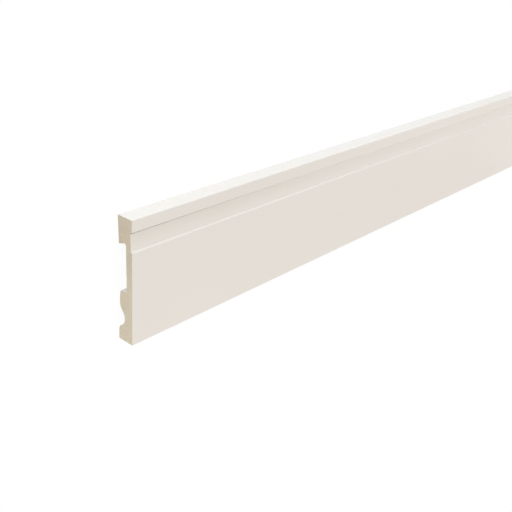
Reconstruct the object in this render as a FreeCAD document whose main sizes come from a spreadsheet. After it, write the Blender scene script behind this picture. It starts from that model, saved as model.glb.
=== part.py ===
import FreeCAD, Part
import os
from enum import IntEnum

import Sketcher

# A length of skirting board, in millimetres, lying on its back as stock lies on a floor.
# X runs along the length, Y from the bottom edge of the board to its moulded top edge,
# and Z from the wall side, at 0, to the face. The origin is under the middle of the board.

# Driving dimensions. Heights are taken up the board, and depths through its thickness.
SIZES = {
    "board_length": 2000,
    "board_height": 100,
    "board_thickness": 15,
    # The face: a flat band on top, a slanted quirk under it, a recess and a bevelled ledge.
    # The recess runs from the band to the foot of the ledge, quirk and ledge included.
    "fascia_height": 9.3,
    "recess_height": 15.9,
    "quirk_rise": 1.6,
    "quirk_depth": 1.6,
    "ledge_rise": 1.3,
    "ledge_depth": 1.25,
    # The wall side: a thick top block and, under it, a thin web. The block's back slopes
    # away from the wall as it comes down, and so does its underside towards the web.
    "block_height": 22,
    "block_heel_depth": 0.85,
    "block_undercut_height": 2.8,
    "web_head_thickness": 6.5,
    "web_foot_thickness": 6.1,
    # Up from the bottom: a toe, a cove and a bulge that stops just short of the wall. The
    # cove's two flanks, drawn on without their rounding, would meet at its root.
    "toe_height": 10.3,
    "cove_heel_width": 7.4,
    "cove_flank_width": 10.2,
    "cove_root_depth": 9.4,
    "bulge_width": 13.7,
    "bulge_foot_depth": 1.75,
    "bulge_head_depth": 2.3,
    "bulge_crown_radius": 28,
    # Roundings along the length.
    "edge_radius": 0.5,
    "fine_edge_radius": 0.3,
    "block_heel_radius": 0.5,
    "block_root_radius": 1.8,
    "bulge_root_radius": 1,
    "bulge_head_radius": 1.6,
    "bulge_foot_radius": 4,
    "toe_radius": 5,
    "cove_radius": 7.5,
}

# Heights on the board that several corners share, worked out from the sizes.
COVE_ROOT = "board.toe_height + board.cove_heel_width"
BULGE_FOOT = f"{COVE_ROOT} + board.cove_flank_width"
BULGE_TOP = f"{BULGE_FOOT} + board.bulge_width"
BLOCK_FOOT = "board.board_height - board.block_height"
FASCIA_FOOT = "board.board_height - board.fascia_height"
LEDGE_FOOT = f"{FASCIA_FOOT} - board.recess_height"

# Corners of the section in order, anticlockwise, as height and depth from the toe's back
# corner. None is a coordinate that lies on the sketch's own axis.
CORNERS = {
    "toe_back": (None, None),
    "toe_heel": ("board.toe_height", None),
    "cove_root": (COVE_ROOT, "board.cove_root_depth"),
    "bulge_foot": (BULGE_FOOT, "board.bulge_foot_depth"),
    "bulge_head": (BULGE_TOP, "board.bulge_head_depth"),
    "bulge_root": (BULGE_TOP, "board.board_thickness - board.web_foot_thickness"),
    "block_root": (
        f"{BLOCK_FOOT} + board.block_undercut_height",
        "board.board_thickness - board.web_head_thickness",
    ),
    "block_heel": (BLOCK_FOOT, "board.block_heel_depth"),
    "top_back": ("board.board_height", None),
    "top_front": ("board.board_height", "board.board_thickness"),
    "fascia_foot": (FASCIA_FOOT, "board.board_thickness"),
    "quirk_root": (
        f"{FASCIA_FOOT} - board.quirk_rise",
        "board.board_thickness - board.quirk_depth",
    ),
    "ledge_lip": (
        f"{LEDGE_FOOT} + board.ledge_rise",
        "board.board_thickness - board.ledge_depth",
    ),
    "ledge_foot": (LEDGE_FOOT, "board.board_thickness"),
    "toe_front": (None, "board.board_thickness"),
}

# The bulge's crown is the one side of the section that is an arc. It starts at this corner.
CROWN_START = "bulge_foot"

# Roundings, each with the size of its radius and the corners that it rounds.
ROUNDINGS = {
    "eased_edges": ("edge_radius", ["toe_back", "top_back", "top_front", "toe_front"]),
    "fine_edges": ("fine_edge_radius", ["fascia_foot", "ledge_foot"]),
    "block_heel_edge": ("block_heel_radius", ["block_heel"]),
    "block_root_corner": ("block_root_radius", ["block_root"]),
    "bulge_root_corner": ("bulge_root_radius", ["bulge_root"]),
    "bulge_head_edge": ("bulge_head_radius", ["bulge_head"]),
    "bulge_foot_edge": ("bulge_foot_radius", ["bulge_foot"]),
    "toe_edge": ("toe_radius", ["toe_heel"]),
    "cove": ("cove_radius", ["cove_root"]),
}

# How near an edge lies to a corner of the section to count as the edge at that corner.
SAME_PLACE = 1e-4


class Axis(IntEnum):
    """A sketch's own axes, by the numbers that its constraints know them by."""

    HEIGHTS = -1
    DEPTHS = -2


class At(IntEnum):
    """The two ends of an edge of a sketch, by the same numbering."""

    START = 1
    FINISH = 2


# The sketch's root point is the start of its first axis.
ROOT_POINT = (Axis.HEIGHTS, At.START)


def make_sheet(doc):
    """Put every driving dimension in the document's sheet, under its own name."""
    sheet = doc.addObject("Spreadsheet::Sheet", "board")
    for row, (alias, value) in enumerate(SIZES.items(), start=1):
        sheet.set(f"A{row}", alias)
        sheet.set(f"B{row}", str(value))
        sheet.setAlias(f"B{row}", alias)
    doc.recompute()


def corner_points(sketch):
    """Work out where the corners of the section lie, from the sheet."""
    points = {}
    for name, corner in CORNERS.items():
        height, depth = [0.0 if text is None else float(sketch.evalExpression(text)) for text in corner]
        points[name] = FreeCAD.Vector(height, depth, 0)
    return points


def crown_arc(first, last, radius):
    """Return the arc of this radius that swells towards the wall between two corners."""
    chord = last - first
    rise = radius - (radius**2 - (chord.Length / 2) ** 2) ** 0.5
    outward = FreeCAD.Vector(chord.y, -chord.x, 0).normalize()
    return Part.Arc(first, first + chord / 2 + outward * rise, last)


def bind(sketch, kind, elements, text):
    """Add a dimension to the sketch and tie it to the sheet."""
    value = float(sketch.evalExpression(text))
    number = sketch.addConstraint(Sketcher.Constraint(kind, *elements, value))
    sketch.setExpression(f"Constraints[{number}]", text)


def hold_corner(sketch, number, corner):
    """Tie the start of one side of the section to its corner's height and depth."""
    for text, kind, zero_axis in zip(corner, ("DistanceX", "DistanceY"), (Axis.DEPTHS, Axis.HEIGHTS)):
        if text is None:
            sketch.addConstraint(Sketcher.Constraint("PointOnObject", number, At.START, zero_axis))
        else:
            bind(sketch, kind, (*ROOT_POINT, number, At.START), text)


def draw_section(body):
    """Draw the closed section of the board, every corner held by the sheet."""
    sketch = body.newObject("Sketcher::SketchObject", "section")
    plane = next(item for item in body.Origin.OriginFeatures if item.Role == "YZ_Plane")
    sketch.AttachmentSupport = [(plane, "")]
    sketch.MapMode = "FlatFace"
    points = corner_points(sketch)
    names = list(CORNERS)
    for here, there in zip(names, names[1:] + names[:1]):
        side = Part.LineSegment(points[here], points[there])
        if here == CROWN_START:
            radius = float(sketch.evalExpression("board.bulge_crown_radius"))
            side = crown_arc(points[here], points[there], radius)
        sketch.addGeometry(side)
    for number, name in enumerate(names):
        following = (number + 1) % len(names)
        sketch.addConstraint(Sketcher.Constraint("Coincident", number, At.FINISH, following, At.START))
        hold_corner(sketch, number, CORNERS[name])
    bind(sketch, "Radius", (names.index(CROWN_START),), "board.bulge_crown_radius")
    return sketch


def edges_along(shape, points):
    """Name the edges of the length that run through these points of the section."""
    found = []
    for number, edge in enumerate(shape.Edges, start=1):
        ends = [vertex.Point for vertex in edge.Vertexes]
        for point in points:
            near = [abs(end.y - point.x) + abs(end.z - point.y) < SAME_PLACE for end in ends]
            if len(ends) == 2 and all(near):
                found.append(f"Edge{number}")
    return found


def make_skirting(doc):
    """Extrude the section to the length it is sold in, and round its long edges."""
    body = doc.addObject("PartDesign::Body", "skirting_length")
    body.Label = "skirting_length"
    sketch = draw_section(body)
    pad = body.newObject("PartDesign::Pad", "extrusion")
    pad.Profile = sketch
    pad.SideType = "Symmetric"
    pad.setExpression("Length", "board.board_length")
    doc.recompute()
    points = corner_points(sketch)
    base = pad
    for name, (radius, corners) in ROUNDINGS.items():
        rounding = body.newObject("PartDesign::Fillet", name)
        rounding.Base = (base, edges_along(base.Shape, [points[corner] for corner in corners]))
        rounding.setExpression("Radius", f"board.{radius}")
        doc.recompute()
        base = rounding
    body.Tip = base
    body.Placement = FreeCAD.Placement()
    body.setExpression("Placement.Base.y", "-board.board_height / 2")
    doc.recompute()
    return body


def check(doc, bodies):
    """Stop if any object failed, or if any body isn't one sound solid."""
    for item in doc.Objects:
        if "Invalid" in item.State or "Error" in item.State:
            raise RuntimeError(f"{item.Name} failed: {item.State}")
    for body in bodies:
        shape = body.Shape
        if shape.isNull() or not shape.isValid() or len(shape.Solids) != 1:
            raise RuntimeError(f"{body.Label} isn't one valid solid")


def main():
    """Build the board and write its solid to parts."""
    doc = FreeCAD.newDocument("skirting_board_length")
    make_sheet(doc)
    bodies = [make_skirting(doc)]
    check(doc, bodies)
    os.makedirs("parts", exist_ok=True)
    for body in bodies:
        body.Shape.exportStep(f"parts/{body.Label}.step")
        box = body.Shape.BoundBox
        size = f"{box.XLength:.2f} x {box.YLength:.2f} x {box.ZLength:.2f} mm"
        print(f"{body.Label}: {size}, {body.Shape.Volume / 1000:.1f} cm3")


main()
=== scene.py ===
"""Dresses a length of skirting board: moulded, coated white, and sawn square at both ends.

Everything is in metres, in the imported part's own frame. The board lies on its back on the
floor, at Z = 0, with X along its length, Y up its height and Z out of its face.
"""

import logging
import math
from dataclasses import dataclass
from enum import IntEnum

import bmesh
import bpy
from mathutils import Euler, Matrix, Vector, noise


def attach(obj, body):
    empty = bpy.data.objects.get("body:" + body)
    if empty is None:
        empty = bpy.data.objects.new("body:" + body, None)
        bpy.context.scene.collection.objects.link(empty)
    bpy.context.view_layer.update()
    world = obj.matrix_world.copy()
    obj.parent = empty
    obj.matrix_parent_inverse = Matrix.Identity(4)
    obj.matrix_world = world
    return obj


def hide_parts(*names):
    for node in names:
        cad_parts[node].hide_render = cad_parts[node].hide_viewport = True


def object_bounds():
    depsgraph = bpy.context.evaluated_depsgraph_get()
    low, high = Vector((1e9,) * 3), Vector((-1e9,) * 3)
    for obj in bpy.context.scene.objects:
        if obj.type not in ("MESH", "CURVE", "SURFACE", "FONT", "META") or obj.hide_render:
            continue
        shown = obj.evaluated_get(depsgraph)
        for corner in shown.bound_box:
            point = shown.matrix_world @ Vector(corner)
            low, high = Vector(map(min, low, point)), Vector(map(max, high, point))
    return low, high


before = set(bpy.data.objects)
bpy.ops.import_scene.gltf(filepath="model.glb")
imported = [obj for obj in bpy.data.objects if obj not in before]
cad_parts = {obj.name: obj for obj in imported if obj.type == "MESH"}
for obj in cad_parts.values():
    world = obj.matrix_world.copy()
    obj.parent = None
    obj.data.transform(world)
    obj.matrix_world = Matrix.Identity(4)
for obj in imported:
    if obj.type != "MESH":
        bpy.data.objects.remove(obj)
CAD_LOW, CAD_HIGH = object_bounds()

LOG = logging.getLogger("skirting")
NODE = "skirting_length"
BODY = "root"
MM = 0.001

Colour = tuple[float, float, float]
Socket = bpy.types.NodeSocket
WHITE: Colour = (1.0, 1.0, 1.0)


def srgb(red: int, green: int, blue: int) -> Colour:
    """Turn a colour as it is seen on screen into the linear colour that a shader takes.

    Args:
        red: Red from 0 to 255.
        green: Green from 0 to 255.
        blue: Blue from 0 to 255.

    Returns:
        The same colour in linear light.
    """

    def linear(channel: int) -> float:
        """Undo the screen's own curve for one channel."""
        share = channel / 255
        return share / 12.92 if share <= 0.04045 else ((share + 0.055) / 1.055) ** 2.4

    return (linear(red), linear(green), linear(blue))


class Finish(IntEnum):
    """The finishes of the board, in the order of its mesh's material slots."""

    COAT = 0
    BACK = 1
    CORE = 2


@dataclass(frozen=True)
class Rounding:
    """How a corner of the section is rounded."""

    radius: float
    steps: int


@dataclass(frozen=True)
class Corner:
    """One corner of the section, up the board and out from its back."""

    height: float
    depth: float
    rounding: Rounding

    def place(self, low: Vector) -> Vector:
        """Return where the corner lies on the board's low end."""
        return Vector((low.x, low.y + self.height, low.z + self.depth))


@dataclass(frozen=True)
class Crease:
    """An inner corner along the board, along which shade is painted into the colour, full near the ends.
    """

    y: float
    z: float
    reach: float
    end: float
    spread: float = 0.3


class NodeTree:
    """A short hand for adding nodes to a tree and joining them."""

    def __init__(self, tree: bpy.types.NodeTree) -> None:
        """Work on this tree from empty."""
        self.tree = tree
        self.tree.nodes.clear()

    def add(self, kind: str, **settings: object) -> bpy.types.Node:
        """Add a node.

        Args:
            kind: The node's type name.
            settings: Properties of the node, by name.

        Returns:
            The new node.
        """
        node = self.tree.nodes.new(kind)
        for name, value in settings.items():
            setattr(node, name, value)
        return node

    def join(self, source: Socket, target: Socket) -> None:
        """Join an output to an input."""
        self.tree.links.new(source, target)

    def feed(self, value: Socket | float | Colour, target: Socket) -> None:
        """Give an input its value, from an output or as it is.

        Args:
            value: An output, a number or a colour.
            target: The input.
        """
        if isinstance(value, Socket):
            self.join(value, target)
        elif isinstance(value, tuple):
            target.default_value = (*value, 1)
        else:
            target.default_value = value

    def math(self, operation: str, first: Socket | float, second: Socket | float = 0.0) -> Socket:
        """Work out a value from one or two others.

        Args:
            operation: Blender's name for the operation.
            first: The first value.
            second: The second value, where the operation takes one.

        Returns:
            The socket that holds the result.
        """
        node = self.add("ShaderNodeMath", operation=operation)
        for value, socket in zip((first, second), node.inputs):
            self.feed(value, socket)
        return node.outputs["Value"]

    def mix(self, factor: Socket, first: Socket | Colour, second: Socket | Colour) -> Socket:
        """Blend two colours.

        Args:
            factor: How far towards the second colour.
            first: The colour where the factor is 0.
            second: The colour where the factor is 1.

        Returns:
            The socket that holds the blend.
        """
        node = self.add("ShaderNodeMix", data_type="RGBA")
        self.join(factor, node.inputs["Factor"])
        colours = [socket for socket in node.inputs if socket.type == "RGBA"]
        for colour, socket in zip((first, second), colours):
            self.feed(colour, socket)
        return next(socket for socket in node.outputs if socket.type == "RGBA")

    def spread(self, value: Socket, low: float, high: float) -> Socket:
        """Map a value from 0 to 1 onto a range.

        Args:
            value: The value to map.
            low: What 0 becomes.
            high: What 1 becomes.

        Returns:
            The socket that holds the mapped value.
        """
        node = self.add("ShaderNodeMapRange")
        self.join(value, node.inputs["Value"])
        node.inputs["To Min"].default_value = low
        node.inputs["To Max"].default_value = high
        return node.outputs["Result"]

    def fade(self, value: Socket, start: float, stop: float, first: float, last: float) -> Socket:
        """Pass softly from one number to another as a value grows.

        Args:
            value: The value that leads.
            start: Where the passage starts.
            stop: Where it ends.
            first: The number before it.
            last: The number after it.

        Returns:
            The socket that holds the number.
        """
        node = self.add("ShaderNodeMapRange", interpolation_type="SMOOTHSTEP")
        self.join(value, node.inputs["Value"])
        for name, number in zip(("From Min", "From Max", "To Min", "To Max"), (start, stop, first, last)):
            node.inputs[name].default_value = number
        return node.outputs["Result"]

    def place(self) -> Socket:
        """Return the place on the object, in metres."""
        return self.add("ShaderNodeTexCoord").outputs["Object"]

    def parts(self, place: Socket) -> bpy.types.bpy_prop_collection:
        """Take a place apart.

        Args:
            place: The place.

        Returns:
            The sockets that hold its X, Y and Z, by those names.
        """
        node = self.add("ShaderNodeSeparateXYZ")
        self.join(place, node.inputs["Vector"])
        return node.outputs


class Effect:
    """A shader node group that puts out one mask, with numbers to set at each use."""

    def __init__(self, name: str, inputs: tuple[str, ...]) -> None:
        """Make the group's sockets and its two end nodes.

        Args:
            name: The group's name.
            inputs: The names of its numbers.
        """
        self.group = bpy.data.node_groups.new(name, "ShaderNodeTree")
        face = self.group.interface
        for label in inputs:
            face.new_socket(label, in_out="INPUT", socket_type="NodeSocketFloat")
        face.new_socket("Mask", in_out="OUTPUT", socket_type="NodeSocketFloat")
        self.nodes = NodeTree(self.group)
        self.given = self.nodes.add("NodeGroupInput").outputs
        self.result = self.nodes.add("NodeGroupOutput").inputs

    def use(self, nodes: NodeTree, *values: float) -> Socket:
        """Place the effect in a material.

        Args:
            nodes: The material's nodes.
            values: Its numbers, in the order of the group's inputs.

        Returns:
            The socket that holds its mask.
        """
        node = nodes.add("ShaderNodeGroup", node_tree=self.group)
        for socket, value in zip(node.inputs, values):
            socket.default_value = value
        return node.outputs["Mask"]


class NoiseEffect(Effect):
    """Noise drawn out along the board, with its waves in a metre and its contrast to set."""

    def __init__(self, name: str, along: float, detail: float) -> None:
        """Build the group.

        Args:
            name: The group's name.
            along: How much of the scale counts along the length.
            detail: How many finer layers the noise has.
        """
        super().__init__(name, ("Scale", "Contrast"))
        nodes = self.nodes
        mapping = nodes.add("ShaderNodeMapping")
        mapping.inputs["Scale"].default_value = (along, 1.0, 1.0)
        pattern = nodes.add("ShaderNodeTexNoise")
        pattern.inputs["Detail"].default_value = detail
        nodes.join(nodes.place(), mapping.inputs["Vector"])
        nodes.join(mapping.outputs["Vector"], pattern.inputs["Vector"])
        nodes.join(self.given["Scale"], pattern.inputs["Scale"])
        centred = nodes.math("SUBTRACT", pattern.outputs["Fac"], 0.5)
        stretched = nodes.math("MULTIPLY", centred, self.given["Contrast"])
        clamp = nodes.add("ShaderNodeClamp")
        nodes.join(nodes.math("ADD", stretched, 0.5), clamp.inputs["Value"])
        nodes.join(clamp.outputs["Result"], self.result["Mask"])

    def lay(self, nodes: NodeTree, waves: float, contrast: float = 1.0) -> Socket:
        """Lay the noise over a material, and return its mask."""
        return self.use(nodes, waves, contrast)


class CreaseShadeEffect(Effect):
    """Painted shade in one crease: full close to its root, and thinning away from the ends."""

    FULL_SHARE = 0.35
    THINNING = 2.0

    def __init__(self, name: str) -> None:
        """Build the group, with a crease's fields as its numbers.

        Args:
            name: The group's name.
        """
        super().__init__(name, ("Y", "Z", "Reach", "End", "Spread"))
        nodes = self.nodes
        given = self.given
        parts = nodes.parts(nodes.place())
        gaps = [nodes.math("SUBTRACT", parts[axis], given[axis]) for axis in ("Y", "Z")]
        squares = [nodes.math("MULTIPLY", gap, gap) for gap in gaps]
        distance = nodes.math("POWER", nodes.math("ADD", *squares), 0.5)
        away = nodes.math("DIVIDE", distance, given["Reach"])
        close = nodes.fade(away, self.FULL_SHARE, 1.0, 1.0, 0.0)
        inside = nodes.math("SUBTRACT", given["End"], nodes.math("ABSOLUTE", parts["X"]))
        left = nodes.math("SUBTRACT", 1.0, nodes.math("DIVIDE", inside, given["Spread"]))
        thinned = nodes.math("POWER", nodes.math("MAXIMUM", left, 0.0), self.THINNING)
        nodes.join(nodes.math("MULTIPLY", close, thinned), self.result["Mask"])

    def paint_shade(self, nodes: NodeTree, crease: Crease) -> Socket:
        """Place the painted shade of one crease in a material, and return its mask."""
        return self.use(nodes, crease.y, crease.z, crease.reach, crease.end, crease.spread)


class Effects:
    """The effects that more than one finish uses, each as one node group."""

    def __init__(self) -> None:
        """Build every group once."""
        self.lines = NoiseEffect("extrusion lines", along=0.004, detail=3.0)
        self.mottle = NoiseEffect("soft mottle", along=0.35, detail=2.0)
        self.grain = NoiseEffect("fine grain", along=1.0, detail=4.0)
        # Painted shade for the creases: the colour darkens along inner corners, most near the ends.
        self.crease_shade = CreaseShadeEffect("painted shade in a crease")


class Surface:
    """A material with one plain shader, whose fine relief is bump."""

    def __init__(self, name: str, specular: float) -> None:
        """Start the material.

        Args:
            name: Its name.
            specular: How strongly it mirrors, where 0.5 is a plain gloss.
        """
        self.material = bpy.data.materials.new(name)
        self.material.use_nodes = True
        self.nodes = NodeTree(self.material.node_tree)
        self.shader = self.nodes.add("ShaderNodeBsdfPrincipled")
        self.shader.inputs["Specular IOR Level"].default_value = specular
        output = self.nodes.add("ShaderNodeOutputMaterial")
        self.nodes.join(self.shader.outputs["BSDF"], output.inputs["Surface"])

    def dress(self, colour: Socket, roughness: Socket | float, relief: Socket) -> bpy.types.Material:
        """Give the material its looks.

        Args:
            colour: Its colour.
            roughness: Its roughness.
            relief: The height of its relief, in metres.

        Returns:
            The finished material.
        """
        bump = self.nodes.add("ShaderNodeBump")
        bump.inputs["Distance"].default_value = 1.0
        self.nodes.join(relief, bump.inputs["Height"])
        self.nodes.join(bump.outputs["Normal"], self.shader.inputs["Normal"])
        self.nodes.join(colour, self.shader.inputs["Base Color"])
        self.nodes.feed(roughness, self.shader.inputs["Roughness"])
        return self.material


@dataclass(frozen=True)
class CoatFinish:
    """A satin white coat, put on as the board leaves its die."""

    crease: Crease
    name: str = "white coat"
    light: Colour = srgb(241, 236, 230)
    dark: Colour = srgb(236, 230, 223)
    mottle_waves: float = 9.0
    mottle_contrast: float = 1.6
    shine: float = 0.44
    dull: float = 0.52
    specular: float = 0.4
    line_waves: float = 420.0
    line_height: float = 0.005 * MM
    peel_waves: float = 650.0
    peel_height: float = 0.006 * MM
    # Painted shade along the quirk's slant: a darker colour laid in the crease, fading away from the
    # ends.
    crease_shade: Colour = srgb(160, 150, 144)
    crease_shade_share: float = 0.95

    def build(self, effects: Effects) -> bpy.types.Material:
        """Make the material.

        Args:
            effects: The shared node groups.

        Returns:
            The finished material.
        """
        surface = Surface(self.name, self.specular)
        nodes = surface.nodes
        mottle = effects.mottle.lay(nodes, self.mottle_waves, self.mottle_contrast)
        clean = nodes.mix(mottle, self.dark, self.light)
        # Painted shade: the colour darkens along the quirk's slant, most near the ends.
        shaded_crease = nodes.math("MULTIPLY", effects.crease_shade.paint_shade(nodes, self.crease), self.crease_shade_share)
        colour = nodes.mix(shaded_crease, clean, self.crease_shade)
        roughness = nodes.spread(mottle, self.dull, self.shine)
        lines = nodes.math("MULTIPLY", effects.lines.lay(nodes, self.line_waves), self.line_height)
        peel = nodes.math("MULTIPLY", effects.grain.lay(nodes, self.peel_waves), self.peel_height)
        return surface.dress(colour, roughness, nodes.math("ADD", lines, peel))


@dataclass(frozen=True)
class BackFinish:
    """The thin coat behind the board, through which its cream core shows in patches."""

    crease: Crease
    name: str = "thin back coat"
    covered: Colour = srgb(243, 239, 230)
    thin: Colour = srgb(228, 219, 202)
    mottle_waves: float = 38.0
    mottle_contrast: float = 2.4
    shine: float = 0.55
    dull: float = 0.72
    specular: float = 0.35
    line_waves: float = 260.0
    line_contrast: float = 1.5
    line_height: float = 0.020 * MM
    grain_waves: float = 500.0
    grain_height: float = 0.020 * MM
    # Painted shade in the inner corner between the web and the block, fading away from the ends.
    crease_shade: Colour = srgb(205, 197, 184)
    crease_shade_share: float = 0.5

    def build(self, effects: Effects) -> bpy.types.Material:
        """Make the material.

        Args:
            effects: The shared node groups.

        Returns:
            The finished material.
        """
        surface = Surface(self.name, self.specular)
        nodes = surface.nodes
        mottle = effects.mottle.lay(nodes, self.mottle_waves, self.mottle_contrast)
        lines = effects.lines.lay(nodes, self.line_waves, self.line_contrast)
        clean = nodes.mix(nodes.math("MULTIPLY", mottle, lines), self.covered, self.thin)
        # Painted shade: the colour darkens in the inner corner under the block, most near the ends.
        shaded_crease = nodes.math("MULTIPLY", effects.crease_shade.paint_shade(nodes, self.crease), self.crease_shade_share)
        colour = nodes.mix(shaded_crease, clean, self.crease_shade)
        roughness = nodes.spread(mottle, self.shine, self.dull)
        ridges = nodes.math("MULTIPLY", lines, self.line_height)
        grain = nodes.math("MULTIPLY", effects.grain.lay(nodes, self.grain_waves), self.grain_height)
        return surface.dress(colour, roughness, nodes.math("ADD", ridges, grain))


@dataclass(frozen=True)
class CoreFinish:
    """The cream foamed core, as a fine saw leaves it: matt, with closed cells.

    Its colour is painted lighter in the lower half of the board: painted light, as of light bounced up
    from below.
    """

    name: str = "sawn cream core"
    light: Colour = srgb(228, 216, 192)
    dark: Colour = srgb(206, 192, 170)
    # Painted light: the core turns lighter towards the bottom edge, fully below the first height and not
    # at all above the second.
    painted_light_full_below: float = -10.0 * MM
    painted_light_gone_above: float = 20.0 * MM
    painted_light_share: float = 0.45
    mottle_share: float = 0.3
    mottle_waves: float = 160.0
    mottle_contrast: float = 1.5
    grain_waves: float = 1500.0
    grain_contrast: float = 1.8
    roughness: float = 0.85
    specular: float = 0.2
    cells_in_a_metre: float = 3200.0
    cell_height: float = 0.05 * MM
    saw_lines_in_a_metre: float = 900.0
    saw_wander: float = 3.0
    saw_detail: float = 2.0
    saw_height: float = 0.02 * MM

    def _relief(self, nodes: NodeTree, place: Socket) -> Socket:
        """Make the relief of the cut cells and of the saw's lines.

        Args:
            nodes: The material's nodes.
            place: The place on the board.

        Returns:
            The socket that holds its height.
        """
        cells = nodes.add("ShaderNodeTexVoronoi", feature="DISTANCE_TO_EDGE")
        cells.inputs["Scale"].default_value = self.cells_in_a_metre
        nodes.join(place, cells.inputs["Vector"])
        saw = nodes.add("ShaderNodeTexWave", bands_direction="Y")
        saw.inputs["Scale"].default_value = self.saw_lines_in_a_metre / (2 * math.pi)
        saw.inputs["Distortion"].default_value = self.saw_wander
        saw.inputs["Detail"].default_value = self.saw_detail
        nodes.join(place, saw.inputs["Vector"])
        pits = nodes.math("MULTIPLY", cells.outputs["Distance"], self.cell_height)
        marks = nodes.math("MULTIPLY", saw.outputs["Fac"], self.saw_height)
        return nodes.math("ADD", pits, marks)

    def build(self, effects: Effects) -> bpy.types.Material:
        """Make the material.

        Args:
            effects: The shared node groups.

        Returns:
            The finished material.
        """
        surface = Surface(self.name, self.specular)
        nodes = surface.nodes
        place = nodes.place()
        mottle = effects.mottle.lay(nodes, self.mottle_waves, self.mottle_contrast)
        grain = effects.grain.lay(nodes, self.grain_waves, self.grain_contrast)
        uneven = nodes.math("MULTIPLY", nodes.math("ADD", mottle, grain), self.mottle_share)
        # Painted light: a lighter tone towards the bottom edge, added to the random mottle.
        painted_light = nodes.fade(nodes.parts(place)["Y"], self.painted_light_full_below, self.painted_light_gone_above, 1.0, 0.0)
        shade = nodes.math("ADD", uneven, nodes.math("MULTIPLY", painted_light, self.painted_light_share))
        colour = nodes.mix(shade, self.dark, self.light)
        return surface.dress(colour, self.roughness, self._relief(nodes, place))


def core_faces(mesh: bmesh.types.BMesh) -> list[bmesh.types.BMFace]:
    """Return the faces of the sawn core, at both ends."""
    return [face for face in mesh.faces if face.material_index == Finish.CORE]


def add_object(name: str, mesh: bmesh.types.BMesh) -> bpy.types.Object:
    """Turn a finished mesh into an object of the scene.

    Args:
        name: The object's name.
        mesh: The mesh, which is freed.

    Returns:
        The new object.
    """
    data = bpy.data.meshes.new(name)
    mesh.to_mesh(data)
    mesh.free()
    made = bpy.data.objects.new(name, data)
    bpy.context.scene.collection.objects.link(made)
    return made


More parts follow.
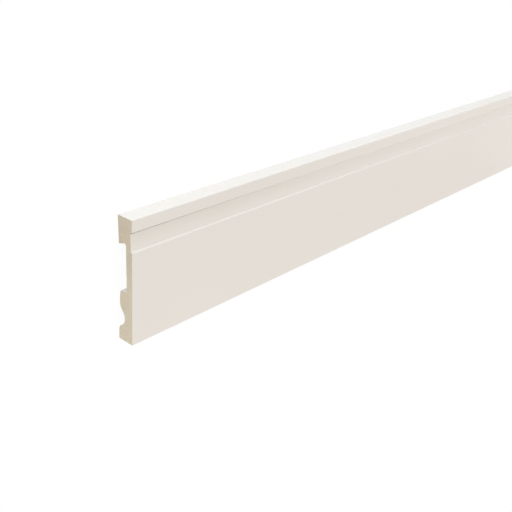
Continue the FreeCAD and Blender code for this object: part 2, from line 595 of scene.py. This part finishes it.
@dataclass(frozen=True)
class SkirtingBoard:
    """The board: its section, and the mesh that is drawn out from it."""

    low: Vector
    high: Vector
    fascia_height: float = 9.3 * MM
    recess_height: float = 15.9 * MM
    quirk_rise: float = 1.6 * MM
    quirk_depth: float = 1.6 * MM
    ledge_rise: float = 1.3 * MM
    ledge_depth: float = 1.25 * MM
    block_height: float = 22.0 * MM
    block_heel_depth: float = 0.85 * MM
    block_undercut_height: float = 2.8 * MM
    web_head_thickness: float = 6.5 * MM
    web_foot_thickness: float = 6.1 * MM
    toe_height: float = 10.3 * MM
    cove_heel_width: float = 7.4 * MM
    cove_flank_width: float = 10.2 * MM
    cove_root_depth: float = 9.4 * MM
    bulge_width: float = 13.7 * MM
    bulge_foot_depth: float = 1.75 * MM
    bulge_crown_depth: float = 0.6 * MM
    bulge_head_depth: float = 2.3 * MM
    edge_rounding: Rounding = Rounding(0.5 * MM, 4)
    fine_rounding: Rounding = Rounding(0.3 * MM, 3)
    inner_rounding: Rounding = Rounding(0.15 * MM, 2)
    block_heel_rounding: Rounding = Rounding(0.5 * MM, 5)
    block_root_rounding: Rounding = Rounding(1.8 * MM, 8)
    bulge_root_rounding: Rounding = Rounding(1.0 * MM, 8)
    bulge_head_rounding: Rounding = Rounding(1.6 * MM, 10)
    bulge_crown_rounding: Rounding = Rounding(28.0 * MM, 14)
    bulge_foot_rounding: Rounding = Rounding(4.0 * MM, 6)
    cove_rounding: Rounding = Rounding(7.5 * MM, 20)
    toe_rounding: Rounding = Rounding(5.0 * MM, 10)
    # How far the painted shade reaches from the quirk's slant and from the root of the block.
    quirk_shade_reach: float = 1.2 * MM
    root_shade_reach: float = 3.0 * MM
    coat_thickness: float = 0.1 * MM
    saw_cell: float = 0.8 * MM
    saw_depth: float = 0.06 * MM
    saw_waves_up: float = 400.0
    saw_waves_out: float = 900.0
    cut_tolerance: float = 1e-7
    end_facing: float = 0.9
    back_facing: float = 0.3
    sharp_angle: float = math.radians(24)

    @property
    def height(self) -> float:
        """Return the board's height, from its bottom edge to its top edge."""
        return self.high.y - self.low.y

    @property
    def thickness(self) -> float:
        """Return the board's thickness, from the wall side to the face."""
        return self.high.z - self.low.z

    def corners(self) -> list[Corner]:
        """List the corners of the section, anticlockwise from the back of the toe.

        Returns:
            The corners, each with its rounding.
        """
        face = self.thickness
        cove_root = self.toe_height + self.cove_heel_width
        bulge_foot = cove_root + self.cove_flank_width
        bulge_top = bulge_foot + self.bulge_width
        block_foot = self.height - self.block_height
        block_root = block_foot + self.block_undercut_height
        fascia_foot = self.height - self.fascia_height
        ledge_foot = fascia_foot - self.recess_height
        return [
            Corner(0.0, 0.0, self.edge_rounding),
            Corner(self.toe_height, 0.0, self.toe_rounding),
            Corner(cove_root, self.cove_root_depth, self.cove_rounding),
            Corner(bulge_foot, self.bulge_foot_depth, self.bulge_foot_rounding),
            Corner((bulge_foot + bulge_top) / 2, self.bulge_crown_depth, self.bulge_crown_rounding),
            Corner(bulge_top, self.bulge_head_depth, self.bulge_head_rounding),
            Corner(bulge_top, face - self.web_foot_thickness, self.bulge_root_rounding),
            Corner(block_root, face - self.web_head_thickness, self.block_root_rounding),
            Corner(block_foot, self.block_heel_depth, self.block_heel_rounding),
            Corner(self.height, 0.0, self.edge_rounding),
            Corner(self.height, face, self.edge_rounding),
            Corner(fascia_foot, face, self.fine_rounding),
            Corner(fascia_foot - self.quirk_rise, face - self.quirk_depth, self.inner_rounding),
            Corner(ledge_foot + self.ledge_rise, face - self.ledge_depth, self.inner_rounding),
            Corner(ledge_foot, face, self.fine_rounding),
            Corner(0.0, face, self.edge_rounding),
        ]

    def _crease(self, height: float, depth: float, reach: float) -> Crease:
        """Return the crease at a height and depth of the section."""
        return Crease(self.low.y + height, self.low.z + depth, reach, self.high.x)

    def front_crease(self) -> Crease:
        """Return the crease that shows on the face: the slant of the quirk."""
        height = self.height - self.fascia_height - self.quirk_rise / 2
        return self._crease(height, self.thickness - self.quirk_depth / 2, self.quirk_shade_reach)

    def back_crease(self) -> Crease:
        """Return the crease of the wall side, between the web and the block."""
        height = self.height - self.block_height + self.block_undercut_height
        return self._crease(height, self.thickness - self.web_head_thickness, self.root_shade_reach)

    def _draw_section(self, mesh: bmesh.types.BMesh) -> bmesh.types.BMFace:
        """Draw the rounded section on the board's low end.

        Args:
            mesh: The mesh to draw in.

        Returns:
            The face that the section fills.
        """
        corners = self.corners()
        points = [mesh.verts.new(corner.place(self.low)) for corner in corners]
        mesh.faces.new(points)
        places = [point.co.copy() for point in points]
        for number, (corner, point) in enumerate(zip(corners, points)):
            back = places[number - 1] - places[number]
            onward = places[(number + 1) % len(places)] - places[number]
            turn = math.pi - back.angle(onward)
            bmesh.ops.bevel(
                mesh,
                geom=[point],
                offset=corner.rounding.radius * math.tan(turn / 2),
                offset_type="OFFSET",
                segments=corner.rounding.steps,
                profile=0.5,
                affect="VERTICES",
                material=-1,
            )
        mesh.faces.ensure_lookup_table()
        return mesh.faces[0]

    def _draw_out(self, mesh: bmesh.types.BMesh, section: bmesh.types.BMFace) -> list[bmesh.types.BMFace]:
        """Draw the section out along the board's length.

        Args:
            mesh: The mesh that holds the section.
            section: The section's face.

        Returns:
            The faces of the two ends.
        """
        made = bmesh.ops.extrude_face_region(mesh, geom=[section], use_keep_orig=True)["geom"]
        moved = [item for item in made if isinstance(item, bmesh.types.BMVert)]
        bmesh.ops.translate(mesh, verts=moved, vec=(self.high.x - self.low.x, 0.0, 0.0))
        bmesh.ops.recalc_face_normals(mesh, faces=mesh.faces[:])
        return [face for face in mesh.faces if abs(face.normal.x) > self.end_facing]

    def _slice_core(self, mesh: bmesh.types.BMesh, point: Vector, normal: Vector) -> None:
        """Cut the core's faces along a plane.

        Args:
            mesh: The board's mesh.
            point: A point of the plane.
            normal: The plane's normal.
        """
        core = core_faces(mesh)
        parts = dict.fromkeys(part for face in core for part in (face, *face.edges, *face.verts))
        bmesh.ops.bisect_plane(
            mesh, geom=list(parts), dist=self.cut_tolerance, plane_co=point, plane_no=normal
        )

    def _saw_ends(self, mesh: bmesh.types.BMesh, ends: list[bmesh.types.BMFace]) -> None:
        """Leave the ends as the saw does: the coat a thin rim, the core very slightly uneven.

        Args:
            mesh: The board's mesh.
            ends: The faces of the two ends.
        """
        bmesh.ops.inset_region(mesh, faces=ends, thickness=self.coat_thickness, use_even_offset=True)
        for end in ends:
            end.material_index = Finish.CORE
        for axis, low, high in (
            (Vector((0, 1, 0)), self.low.y, self.high.y),
            (Vector((0, 0, 1)), self.low.z, self.high.z),
        ):
            count = round((high - low) / self.saw_cell)
            for step in range(1, count):
                self._slice_core(mesh, axis * (low + (high - low) * step / count), axis)
        self._fan_rim(mesh)
        self._roughen_core(mesh)

    @staticmethod
    def _fan_rim(mesh: bmesh.types.BMesh) -> None:
        """Give each face of the rim that the cuts met a point in its middle.

        The face then falls into triangles that all have an area.

        Args:
            mesh: The board's mesh.
        """
        edges = [edge for face in core_faces(mesh) for edge in face.edges]
        beside = dict.fromkeys(face for edge in edges for face in edge.link_faces)
        rim = [face for face in beside if face.material_index != Finish.CORE and len(face.verts) > 4]
        bmesh.ops.poke(mesh, faces=rim, center_mode="MEAN_WEIGHTED")

    def _roughen_core(self, mesh: bmesh.types.BMesh) -> None:
        """Sink the points of the core by uneven depths, as far as the coat's rim.

        Args:
            mesh: The board's mesh.
        """
        for vert in dict.fromkeys(vert for face in core_faces(mesh) for vert in face.verts):
            if all(face.material_index == Finish.CORE for face in vert.link_faces):
                place = Vector((vert.co.x, vert.co.y * self.saw_waves_up, vert.co.z * self.saw_waves_out))
                depth = self.saw_depth * (0.5 + 0.5 * noise.noise(place))
                vert.co.x -= math.copysign(depth, vert.co.x)

    def _finish_back(self, mesh: bmesh.types.BMesh) -> None:
        """Give the back of the board its own finish.

        Args:
            mesh: The board's mesh.
        """
        for face in mesh.faces:
            if face.material_index != Finish.CORE and face.normal.z < -self.back_facing:
                face.material_index = Finish.BACK

    def build(self, materials: list[bpy.types.Material]) -> bpy.types.Object:
        """Build the board.

        Args:
            materials: The materials, in the order of Finish.

        Returns:
            The board as an object at the origin.
        """
        mesh = bmesh.new()
        self._saw_ends(mesh, self._draw_out(mesh, self._draw_section(mesh)))
        self._finish_back(mesh)
        for face in mesh.faces:
            face.smooth = True
        for edge in mesh.edges:
            edge.smooth = edge.calc_face_angle(0.0) < self.sharp_angle
        board = add_object("skirting_board", mesh)
        for material in materials:
            board.data.materials.append(material)
        weighted = board.modifiers.new("even shading", "WEIGHTED_NORMAL")
        weighted.keep_sharp = True
        return board

    def dress(self, effects: Effects) -> bpy.types.Object:
        """Build the board with its finishes, and put it in the CAD model's place.

        Args:
            effects: The shared node groups.

        Returns:
            The finished board.
        """
        finishes = (CoatFinish(self.front_crease()), BackFinish(self.back_crease()), CoreFinish())
        board = self.build([finish.build(effects) for finish in finishes])
        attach(board, BODY)
        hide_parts(NODE)
        return board


@dataclass(frozen=True)
class Lamp:
    """One soft lamp: an oblong panel."""

    name: str
    place: Vector
    aim: Vector
    width: float
    depth: float
    power: float
    colour: Colour

    def build(self) -> bpy.types.Object:
        """Make the lamp.

        Returns:
            The lamp, aimed and hidden from the camera.
        """
        data = bpy.data.lights.new(self.name, "AREA")
        data.shape = "RECTANGLE"
        data.size = self.width
        data.size_y = self.depth
        data.energy = self.power
        data.color = self.colour
        lamp = bpy.data.objects.new(self.name, data)
        bpy.context.scene.collection.objects.link(lamp)
        lamp.location = self.place
        lamp.rotation_euler = (self.aim - self.place).to_track_quat("-Z", "Y").to_euler()
        lamp.visible_camera = False
        return lamp


@dataclass(frozen=True)
class Studio:
    """A pale floor that runs out to white, and soft lamps all round."""

    floor_size: float = 60.0
    floor_colour: Colour = srgb(232, 232, 232)
    floor_white_share: float = 0.9
    floor_white_strength: float = 1.045
    floor_shade_reach: float = 1.5
    floor_white_from: float = 5.0
    ambient_strength: float = 0.25
    warm: Colour = (1.0, 0.965, 0.915)
    cool: Colour = (0.81, 0.91, 1.0)

    def lamps(self) -> list[Lamp]:
        """List the lamps: a key over the face, cool strips beside the board, and two fills.

        Returns:
            The lamps, each with its place, aim, width, depth, power and colour.
        """
        middle = Vector((0.0, 0.0, 0.0))
        near_end = Vector((-1.0, 0.0, 0.0))
        return [
            Lamp("key", Vector((0.0, -2.12, 2.12)), middle, 4.0, 2.0, 57.0, self.warm),
            Lamp("top edge strip", Vector((0.0, 3.4, 0.36)), middle, 4.0, 0.6, 54.0, self.cool),
            Lamp("near end fill", Vector((-2.2, 1.5, 1.2)), near_end, 1.5, 1.5, 20.5, self.warm),
            Lamp("near end strip", Vector((-3.8, 0.4, 0.35)), near_end, 2.0, 0.6, 9.6, self.cool),
            Lamp("corner strip", Vector((-2.8, 2.0, 0.3)), near_end, 1.5, 0.5, 11.0, self.cool),
            Lamp("far end fill", Vector((2.5, 0.0, 1.6)), middle, 2.5, 1.6, 18.0, self.warm),
        ]

    @staticmethod
    def _white_rays(nodes: NodeTree) -> Socket:
        """Find the rays that see the background: camera, glossy and transmission.

        Args:
            nodes: The material's or the world's nodes.

        Returns:
            The socket that is 1 for those rays and 0 for the rest.
        """
        path = nodes.add("ShaderNodeLightPath")
        seen = nodes.math("MAXIMUM", path.outputs["Is Camera Ray"], path.outputs["Is Glossy Ray"])
        return nodes.math("MAXIMUM", seen, path.outputs["Is Transmission Ray"])

    def _whiteness(self, nodes: NodeTree) -> Socket:
        """Work out how white the floor is: it shows its shade near the board, and none far off.

        Args:
            nodes: The floor's nodes.

        Returns:
            The socket that holds the share of white.
        """
        far = nodes.add("ShaderNodeVectorMath", operation="LENGTH")
        nodes.join(nodes.place(), far.inputs[0])
        return nodes.fade(
            far.outputs["Value"],
            self.floor_shade_reach,
            self.floor_white_from,
            self.floor_white_share,
            1.0,
        )

    def build_floor(self) -> bpy.types.Object:
        """Make the floor, white to the eye and pale to the light that it hands on.

        Returns:
            The floor.
        """
        mesh = bmesh.new()
        bmesh.ops.create_grid(mesh, x_segments=1, y_segments=1, size=self.floor_size / 2)
        floor = add_object("floor", mesh)
        floor.location.z = CAD_LOW.z
        material = bpy.data.materials.new("pale floor")
        material.use_nodes = True
        nodes = NodeTree(material.node_tree)
        matt = nodes.add("ShaderNodeBsdfDiffuse")
        matt.inputs["Color"].default_value = (*self.floor_colour, 1)
        white = nodes.add("ShaderNodeEmission")
        white.inputs["Strength"].default_value = self.floor_white_strength
        blend = nodes.add("ShaderNodeMixShader")
        share = nodes.math("MULTIPLY", self._white_rays(nodes), self._whiteness(nodes))
        nodes.join(share, blend.inputs["Fac"])
        nodes.join(matt.outputs["BSDF"], blend.inputs[1])
        nodes.join(white.outputs["Emission"], blend.inputs[2])
        output = nodes.add("ShaderNodeOutputMaterial")
        nodes.join(blend.outputs["Shader"], output.inputs["Surface"])
        floor.data.materials.append(material)
        return floor

    def build_world(self) -> None:
        """Make the world: soft light all round, and white wherever it is seen."""
        world = bpy.data.worlds.new("studio")
        bpy.context.scene.world = world
        world.use_nodes = True
        nodes = NodeTree(world.node_tree)
        soft = nodes.add("ShaderNodeBackground")
        soft.inputs["Color"].default_value = (*WHITE, 1)
        soft.inputs["Strength"].default_value = self.ambient_strength
        white = nodes.add("ShaderNodeBackground")
        white.inputs["Color"].default_value = (*WHITE, 1)
        blend = nodes.add("ShaderNodeMixShader")
        nodes.join(self._white_rays(nodes), blend.inputs["Fac"])
        nodes.join(soft.outputs["Background"], blend.inputs[1])
        nodes.join(white.outputs["Background"], blend.inputs[2])
        output = nodes.add("ShaderNodeOutputWorld")
        nodes.join(blend.outputs["Shader"], output.inputs["Surface"])

    def build(self) -> None:
        """Build the whole studio."""
        self.build_floor()
        self.build_world()
        for lamp in self.lamps():
            lamp.build()


@dataclass(frozen=True)
class Camera:
    """The camera, where the photograph's own lines put it over one end of the board."""

    place: Vector = Vector((-1.31425, 0.26090, 0.38905))
    turn_degrees: tuple[float, float, float] = (-29.833, -48.240, 5.5605)
    lens_mm: float = 54.329
    sensor_mm: float = 36.0
    nearest: float = 0.01
    farthest: float = 200.0

    def build(self) -> bpy.types.Object:
        """Make the camera and use it for the scene.

        Returns:
            The camera.
        """
        data = bpy.data.cameras.new("camera")
        data.lens = self.lens_mm
        data.sensor_width = self.sensor_mm
        data.clip_start = self.nearest
        data.clip_end = self.farthest
        camera = bpy.data.objects.new("camera", data)
        bpy.context.scene.collection.objects.link(camera)
        camera.location = self.place
        camera.rotation_euler = Euler([math.radians(angle) for angle in self.turn_degrees], "XYZ")
        bpy.context.scene.camera = camera
        return camera


def main() -> None:
    """Build the board, the studio and the camera, in that order."""
    logging.basicConfig(level=logging.INFO, format="%(name)s: %(message)s")
    board = SkirtingBoard(CAD_LOW, CAD_HIGH).dress(Effects())
    LOG.info("%s: %d faces", board.name, len(board.data.polygons))
    Studio().build()
    LOG.info("studio: floor, world and lamps")
    Camera().build()
    LOG.info("camera")
    bpy.context.scene.view_settings.view_transform = "Standard"


if __name__ == "__main__":
    main()
